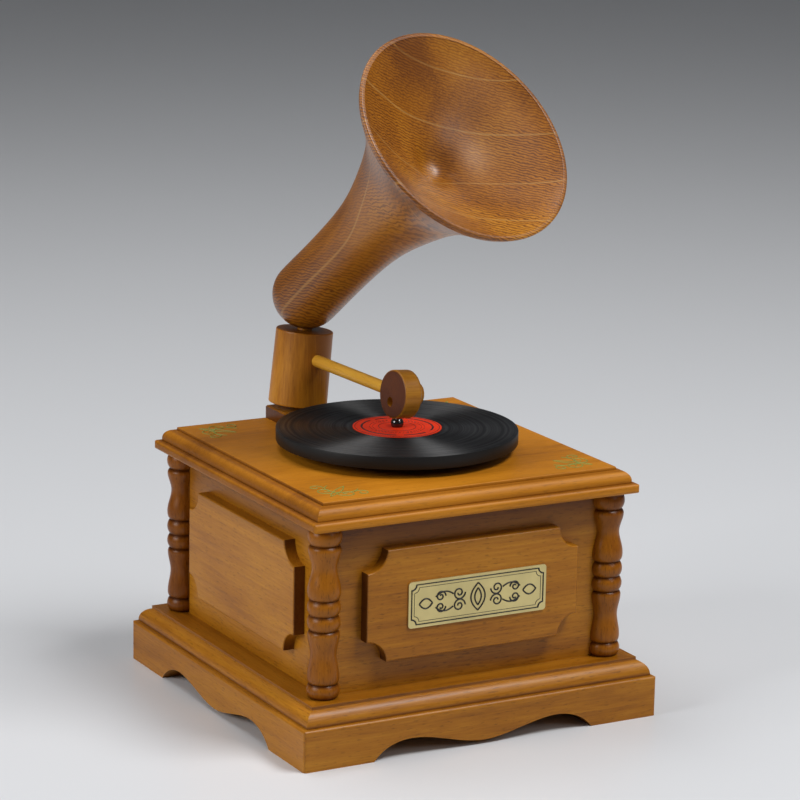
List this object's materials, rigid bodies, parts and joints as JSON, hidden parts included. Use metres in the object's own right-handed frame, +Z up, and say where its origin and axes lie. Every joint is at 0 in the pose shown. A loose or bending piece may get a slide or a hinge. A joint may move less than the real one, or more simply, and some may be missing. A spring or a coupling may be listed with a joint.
{
  "type": "hand crank music box",
  "caption": "Wooden hand crank music box shaped like a tabletop gramophone: square moulded case with turned columns, turning record, swinging tonearm and horn.",
  "frame": {"origin": "centre of the square base on the table, where the four corner feet stand", "axes": "+Z up, front with the nameplate towards -Y, crank on the +X side"},
  "size_m": [0.1348, 0.12, 0.2035],
  "materials": {
    "honey_wood": "satin",
    "pale_wood": "satin",
    "dark_wood": "semi-gloss",
    "plywood": "matt",
    "black_lacquer": "satin",
    "black_enamel": "gloss",
    "red_paper": "matt",
    "steel": "satin",
    "brass": "satin",
    "zinc": "cast",
    "aluminium": "satin",
    "rubber": "matt"
  },
  "bodies": {
    "case": {"base_rail_front": "honey_wood", "base_rail_back": "honey_wood", "base_rail_left": "honey_wood", "base_rail_right": "honey_wood", "base_panel": "plywood", "base_panel_screws": "steel", "wall_front": "honey_wood", "wall_back": "honey_wood", "wall_left": "honey_wood", "wall_right": "honey_wood", "plaque_front": "honey_wood", "plaque_back": "honey_wood", "plaque_left": "honey_wood", "plaque_right": "honey_wood", "glue_block_front_left": "pale_wood", "glue_block_front_right": "pale_wood", "glue_block_back_left": "pale_wood", "glue_block_back_right": "pale_wood", "column_front_left": "honey_wood", "column_front_right": "honey_wood", "column_back_left": "honey_wood", "column_back_right": "honey_wood", "nameplate": "brass", "top_board": "honey_wood", "spindle_bush": "brass", "bedplate": "zinc", "bedplate_spacers": "brass", "bedplate_screws": "steel", "bracket_screws": "steel", "comb_screws": "steel", "bearing_left": "brass", "bearing_right": "brass", "comb": "steel", "comb_base": "brass", "crank_bush": "brass", "post_foot": "pale_wood", "post_pin": "steel"},
    "crank": {"crank_shaft": "steel", "crank_pinion": "brass", "crank_arm": "brass", "crank_nut": "steel", "knob_pin": "steel"},
    "knob": {"crank_knob": "pale_wood"},
    "barrel": {"cylinder": "brass", "cylinder_arbor": "steel", "cylinder_gear": "brass", "drive_wheel": "brass", "drive_tyre": "rubber"},
    "record": {"record_disc": "black_lacquer", "record_label": "red_paper", "spindle_cap": "black_enamel", "turntable_hub": "brass", "spindle": "steel", "spindle_collar": "brass", "friction_disc": "aluminium"},
    "arm": {"arm_post": "pale_wood", "tonearm": "pale_wood", "sound_box": "pale_wood"},
    "horn": {"horn": "dark_wood", "horn_peg": "pale_wood"}
  },
  "joints": [
    {"name": "crank_turn", "type": "hinge", "parent": "case", "child": "crank", "pos_m": [0.052, 0, 0.0439], "axis": [1, 0, 0], "continuous": true},
    {"name": "knob_spin", "type": "hinge", "parent": "crank", "child": "knob", "pos_m": [0.065, 0, 0.0259], "axis": [1, 0, 0], "continuous": true},
    {"name": "barrel_turn", "type": "hinge", "parent": "case", "child": "barrel", "pos_m": [-0.02, -0.0027, 0.03375], "axis": [1, 0, 0], "continuous": true},
    {"name": "record_turn", "type": "hinge", "parent": "case", "child": "record", "pos_m": [0, -0.0027, 0.0796], "axis": [0, 0, 1], "continuous": true},
    {"name": "arm_swivel", "type": "hinge", "parent": "case", "child": "arm", "pos_m": [-0.01049, 0.0435, 0.08197], "axis": [0.0965, 0.0042, 0.9953], "range_deg": [-50, 30]},
    {"name": "horn_swivel", "type": "hinge", "parent": "arm", "child": "horn", "pos_m": [-0.0082, 0.0436, 0.10561], "axis": [0.0965, 0.0042, 0.9953], "continuous": true}
  ],
  "couplings": [
    {"joint": "barrel_turn", "follows": "crank_turn", "ratio": -0.4},
    {"joint": "record_turn", "follows": "crank_turn", "ratio": 0.3}
  ]
}
